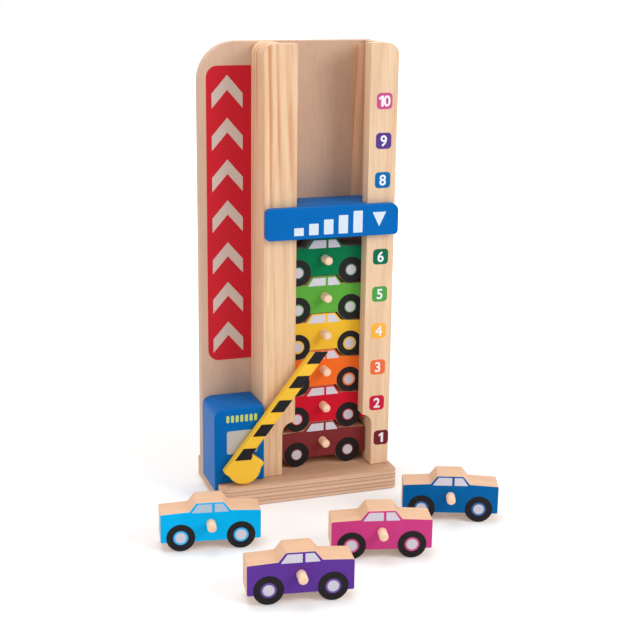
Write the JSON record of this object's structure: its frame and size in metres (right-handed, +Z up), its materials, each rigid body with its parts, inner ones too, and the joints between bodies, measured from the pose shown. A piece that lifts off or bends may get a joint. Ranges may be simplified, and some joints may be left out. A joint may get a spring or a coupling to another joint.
{
  "type": "wooden toy parking garage",
  "caption": "Wooden toy parking garage: a lift channel of stacked toy cars with dowel handles, a sliding level sign, a ticket booth and a swinging striped gate.",
  "frame": {"origin": "middle of the base plate's underside", "axes": "+Z up, -Y out of the open front that the cars' painted faces look towards, +X to the side of the level numbers"},
  "size_m": [0.2964, 0.2842, 0.3981],
  "materials": {
    "plywood": "satin, layered edges",
    "panel_board": "satin",
    "pine": "satin lacquer",
    "dowel_wood": "satin",
    "blue_paint": "satin paint",
    "yellow_paint": "satin paint",
    "zinc_steel": "zinc plated",
    "car_1_maroon": "painted face, bare edge",
    "car_2_red": "painted face, bare edge",
    "car_3_orange": "painted face, bare edge",
    "car_4_yellow": "painted face, bare edge",
    "car_5_light_green": "painted face, bare edge",
    "car_6_dark_green": "painted face, bare edge",
    "car_7_light_blue": "painted face, bare edge",
    "car_8_blue": "painted face, bare edge",
    "car_9_purple": "painted face, bare edge",
    "car_10_pink": "painted face, bare edge"
  },
  "bodies": {
    "tower": {"base_plate": "plywood", "back_panel": "panel_board", "left_upright": "pine", "right_upright": "pine", "ticket_booth": "blue_paint", "left_upright_screw_1": "zinc_steel", "left_upright_screw_2": "zinc_steel", "right_upright_screw_1": "zinc_steel", "right_upright_screw_2": "zinc_steel", "back_panel_screw_1": "zinc_steel", "back_panel_screw_2": "zinc_steel", "ticket_booth_screw_1": "zinc_steel", "ticket_booth_screw_2": "zinc_steel", "rear_left_screw_1": "zinc_steel", "rear_left_screw_2": "zinc_steel", "rear_left_screw_3": "zinc_steel", "rear_right_screw_1": "zinc_steel", "rear_right_screw_2": "zinc_steel", "rear_right_screw_3": "zinc_steel"},
    "gate": {"gate_arm": "yellow_paint", "gate_pivot": "dowel_wood"},
    "level_sign": {"level_board": "blue_paint", "level_slider": "blue_paint"},
    "toy_car_1": {"car_01": "car_1_maroon", "peg_01": "dowel_wood"},
    "toy_car_2": {"car_02": "car_2_red", "peg_02": "dowel_wood"},
    "toy_car_3": {"car_03": "car_3_orange", "peg_03": "dowel_wood"},
    "toy_car_4": {"car_04": "car_4_yellow", "peg_04": "dowel_wood"},
    "toy_car_5": {"car_05": "car_5_light_green", "peg_05": "dowel_wood"},
    "toy_car_6": {"car_06": "car_6_dark_green", "peg_06": "dowel_wood"},
    "toy_car_7": {"car_07": "car_7_light_blue", "peg_07": "dowel_wood"},
    "toy_car_8": {"car_08": "car_8_blue", "peg_08": "dowel_wood"},
    "toy_car_9": {"car_09": "car_9_purple", "peg_09": "dowel_wood"},
    "toy_car_10": {"car_10": "car_10_pink", "peg_10": "dowel_wood"}
  },
  "joints": [
    {"name": "gate_hinge", "type": "hinge", "parent": "tower", "child": "gate", "pos_m": [-0.0594, -0.031, 0.034], "axis": [0, -1, 0], "range_deg": [-51.9, 38]},
    {"name": "car_1_out", "type": "slide", "parent": "tower", "child": "toy_car_1", "axis": [0, -1, 0], "range_m": [0, 0.06]},
    {"name": "car_2_lift", "type": "slide", "parent": "tower", "child": "toy_car_2", "axis": [0, 0, 1], "range_m": [0, 0.034]},
    {"name": "car_3_lift", "type": "slide", "parent": "toy_car_2", "child": "toy_car_3", "axis": [0, 0, 1], "range_m": [0, 0.034]},
    {"name": "car_4_lift", "type": "slide", "parent": "toy_car_3", "child": "toy_car_4", "axis": [0, 0, 1], "range_m": [0, 0.034]},
    {"name": "car_5_lift", "type": "slide", "parent": "toy_car_4", "child": "toy_car_5", "axis": [0, 0, 1], "range_m": [0, 0.034]},
    {"name": "car_6_lift", "type": "slide", "parent": "toy_car_5", "child": "toy_car_6", "axis": [0, 0, 1], "range_m": [0, 0.034]},
    {"name": "level_sign_lift", "type": "slide", "parent": "toy_car_6", "child": "level_sign", "axis": [0, 0, 1], "range_m": [0, 0.1359]},
    {"name": "car_7_lift", "type": "slide", "parent": "tower", "child": "toy_car_7", "axis": [0, 0, 1], "range_m": [0, 0.06]},
    {"name": "car_8_lift", "type": "slide", "parent": "tower", "child": "toy_car_8", "axis": [0, 0, 1], "range_m": [0, 0.06]},
    {"name": "car_9_lift", "type": "slide", "parent": "tower", "child": "toy_car_9", "axis": [0, 0, 1], "range_m": [0, 0.06]},
    {"name": "car_10_lift", "type": "slide", "parent": "tower", "child": "toy_car_10", "axis": [0, 0, 1], "range_m": [0, 0.06]}
  ]
}
